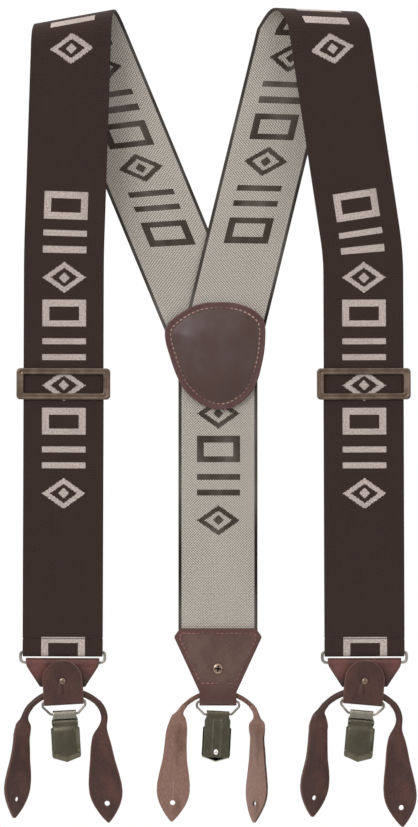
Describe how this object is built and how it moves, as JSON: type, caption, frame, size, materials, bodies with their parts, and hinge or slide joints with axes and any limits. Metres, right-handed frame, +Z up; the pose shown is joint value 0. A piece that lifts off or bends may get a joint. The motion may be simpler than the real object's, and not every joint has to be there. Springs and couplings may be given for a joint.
{
  "type": "suspenders",
  "caption": "Wide Y-back trouser suspenders with woven straps, slide adjusters, a leather back patch, spring clips and buttonhole tabs.",
  "frame": {"origin": "highest point inside the shoulder folds, midway between the front and back straps", "axes": "+Z up, -Y the front, the way the wearer faces; the object hangs from the shoulders"},
  "size_m": [0.2609, 0.0381, 0.5118],
  "materials": {
    "webbing": "woven jacquard, brown face and greige back",
    "leather": "oiled full grain, dark reddish brown",
    "bronze": "antique bronze",
    "wire": "dull nickel wire",
    "gunmetal": "gunmetal, polished over a dark patina",
    "nickel": "bright nickel",
    "jaw_pad": "matt black"
  },
  "bodies": {
    "straps": {"left_strap": "webbing", "left_front_ply": "webbing", "right_strap": "webbing", "right_front_ply": "webbing", "inner_patch": "leather", "outer_patch": "leather", "rear_strap": "webbing", "rear_yoke": "leather", "rear_rivet": "nickel"},
    "left_adjuster": {"left_adjuster_frame": "bronze", "left_adjuster_bar": "bronze", "left_return_ply": "webbing"},
    "left_drop": {"left_strap_turn": "webbing"},
    "left_ring": {"left_ring": "wire"},
    "left_yoke": {"left_yoke": "leather", "left_flap": "leather", "left_rivet": "bronze"},
    "right_adjuster": {"right_adjuster_frame": "bronze", "right_adjuster_bar": "bronze", "right_return_ply": "webbing"},
    "right_drop": {"right_strap_turn": "webbing"},
    "right_ring": {"right_ring": "wire"},
    "right_yoke": {"right_yoke": "leather", "right_flap": "leather", "right_rivet": "bronze"},
    "left_runner": {"left_runner": "leather"},
    "left_tab_outer": {"left_tab_outer": "leather"},
    "left_tab_inner": {"left_tab_inner": "leather"},
    "left_bail": {"left_bail": "wire"},
    "left_clip": {"left_clip_plate": "gunmetal", "left_clip_pin": "nickel", "left_clip_tongue": "gunmetal", "left_clip_rivet": "nickel", "left_clip_pad": "jaw_pad"},
    "left_lever": {"left_clip_cover": "gunmetal"},
    "right_runner": {"right_runner": "leather"},
    "right_tab_inner": {"right_tab_inner": "leather"},
    "right_tab_outer": {"right_tab_outer": "leather"},
    "right_bail": {"right_bail": "wire"},
    "right_clip": {"right_clip_plate": "gunmetal", "right_clip_pin": "nickel", "right_clip_tongue": "gunmetal", "right_clip_rivet": "nickel", "right_clip_pad": "jaw_pad"},
    "right_lever": {"right_clip_cover": "gunmetal"},
    "rear_runner": {"rear_runner": "leather"},
    "rear_tab_left": {"rear_tab_left": "leather"},
    "rear_tab_right": {"rear_tab_right": "leather"},
    "rear_bail": {"rear_bail": "wire"},
    "rear_clip": {"rear_clip_plate": "gunmetal", "rear_clip_pin": "nickel", "rear_clip_tongue": "gunmetal", "rear_clip_rivet": "nickel", "rear_clip_pad": "jaw_pad"},
    "rear_lever": {"rear_clip_cover": "gunmetal"}
  },
  "joints": [
    {"name": "left_adjuster_slide", "type": "slide", "parent": "straps", "child": "left_adjuster", "axis": [0.0035, 0, 1], "range_m": [-0.24, 0.06], "deforming": ["left_front_ply"]},
    {"name": "left_drop_slide", "type": "slide", "parent": "left_adjuster", "child": "left_drop", "axis": [0.0035, 0, 1], "range_m": [-0.03, 0.12], "deforming": ["left_return_ply"]},
    {"name": "left_ring_swing", "type": "hinge", "parent": "left_drop", "child": "left_ring", "pos_m": [-0.0906, -0.0096, -0.401], "axis": [1, 0, -0.0035], "range_deg": [-45, 45]},
    {"name": "left_yoke_swing", "type": "hinge", "parent": "left_ring", "child": "left_yoke", "pos_m": [-0.09062, -0.0096, -0.4078], "axis": [1, 0, -0.0035], "range_deg": [-40, 40]},
    {"name": "right_adjuster_slide", "type": "slide", "parent": "straps", "child": "right_adjuster", "axis": [-0.0035, 0, 1], "range_m": [-0.24, 0.06], "deforming": ["right_front_ply"]},
    {"name": "right_drop_slide", "type": "slide", "parent": "right_adjuster", "child": "right_drop", "axis": [-0.0035, 0, 1], "range_m": [-0.03, 0.12], "deforming": ["right_return_ply"]},
    {"name": "right_ring_swing", "type": "hinge", "parent": "right_drop", "child": "right_ring", "pos_m": [0.0982, -0.0096, -0.401], "axis": [1, 0, 0.0035], "range_deg": [-45, 45]},
    {"name": "right_yoke_swing", "type": "hinge", "parent": "right_ring", "child": "right_yoke", "pos_m": [0.09822, -0.0096, -0.4078], "axis": [1, 0, 0.0035], "range_deg": [-40, 40]},
    {"name": "left_runner_slide", "type": "hinge", "parent": "left_yoke", "child": "left_runner", "pos_m": [-0.08858, -0.0096, -0.45525], "axis": [0, 1, 0], "range_deg": [-8, 8]},
    {"name": "left_tab_outer_swing", "type": "hinge", "parent": "left_runner", "child": "left_tab_outer", "pos_m": [-0.11489, -0.0096, -0.44084], "axis": [0.9983, 0, 0.0576], "range_deg": [-35, 35]},
    {"name": "left_tab_inner_swing", "type": "hinge", "parent": "left_runner", "child": "left_tab_inner", "pos_m": [-0.06409, -0.0096, -0.43791], "axis": [0.9983, 0, 0.0576], "range_deg": [-35, 35]},
    {"name": "left_bail_swing", "type": "hinge", "parent": "left_yoke", "child": "left_bail", "pos_m": [-0.08995, -0.0096, -0.43148], "axis": [0.9983, 0, 0.0576], "range_deg": [-30, 30]},
    {"name": "left_clip_swing", "type": "hinge", "parent": "left_bail", "child": "left_clip", "pos_m": [-0.08947, -0.0096, -0.43977], "axis": [0.9983, 0, 0.0576], "range_deg": [-40, 40]},
    {"name": "left_lever_open", "type": "hinge", "parent": "left_clip", "child": "left_lever", "pos_m": [-0.08917, -0.011, -0.44496], "axis": [-0.9983, 0, -0.0576], "range_deg": [0, 65]},
    {"name": "right_runner_slide", "type": "hinge", "parent": "right_yoke", "child": "right_runner", "pos_m": [0.09511, -0.0096, -0.45517], "axis": [0, 1, 0], "range_deg": [-8, 8]},
    {"name": "right_tab_inner_swing", "type": "hinge", "parent": "right_runner", "child": "right_tab_inner", "pos_m": [0.06953, -0.0096, -0.4395], "axis": [1, 0, 0.0087], "range_deg": [-35, 35]},
    {"name": "right_tab_outer_swing", "type": "hinge", "parent": "right_runner", "child": "right_tab_outer", "pos_m": [0.12041, -0.0096, -0.43905], "axis": [1, 0, 0.0087], "range_deg": [-35, 35]},
    {"name": "right_bail_swing", "type": "hinge", "parent": "right_yoke", "child": "right_bail", "pos_m": [0.09718, -0.0096, -0.43145], "axis": [0.9962, 0, -0.0872], "range_deg": [-30, 30]},
    {"name": "right_clip_swing", "type": "hinge", "parent": "right_bail", "child": "right_clip", "pos_m": [0.09646, -0.0096, -0.43972], "axis": [0.9962, 0, -0.0872], "range_deg": [-40, 40]},
    {"name": "right_lever_open", "type": "hinge", "parent": "right_clip", "child": "right_lever", "pos_m": [0.09601, -0.011, -0.4449], "axis": [-0.9962, 0, 0.0872], "range_deg": [0, 65]},
    {"name": "rear_runner_slide", "type": "hinge", "parent": "straps", "child": "rear_runner", "pos_m": [0.0066, 0.01275, -0.45786], "axis": [0, 1, 0], "range_deg": [-8, 8]},
    {"name": "rear_tab_left_swing", "type": "hinge", "parent": "rear_runner", "child": "rear_tab_left", "pos_m": [-0.01884, 0.01275, -0.44197], "axis": [1, 0, 0], "range_deg": [-35, 35]},
    {"name": "rear_tab_right_swing", "type": "hinge", "parent": "rear_runner", "child": "rear_tab_right", "pos_m": [0.03204, 0.01275, -0.44197], "axis": [1, 0, 0], "range_deg": [-35, 35]},
    {"name": "rear_bail_swing", "type": "hinge", "parent": "straps", "child": "rear_bail", "pos_m": [0.0066, 0.01275, -0.4338], "axis": [-1, 0, 0], "range_deg": [-30, 30]},
    {"name": "rear_clip_swing", "type": "hinge", "parent": "rear_bail", "child": "rear_clip", "pos_m": [0.0066, 0.01275, -0.4421], "axis": [-0.9985, 0, 0.0541], "range_deg": [-40, 40]},
    {"name": "rear_lever_open", "type": "hinge", "parent": "rear_clip", "child": "rear_lever", "pos_m": [0.00632, 0.01415, -0.44729], "axis": [0.9985, 0, -0.0541], "range_deg": [0, 65]}
  ],
  "couplings": [
    {"joint": "left_drop_slide", "follows": "left_adjuster_slide", "ratio": -0.5},
    {"joint": "right_drop_slide", "follows": "right_adjuster_slide", "ratio": -0.5}
  ]
}
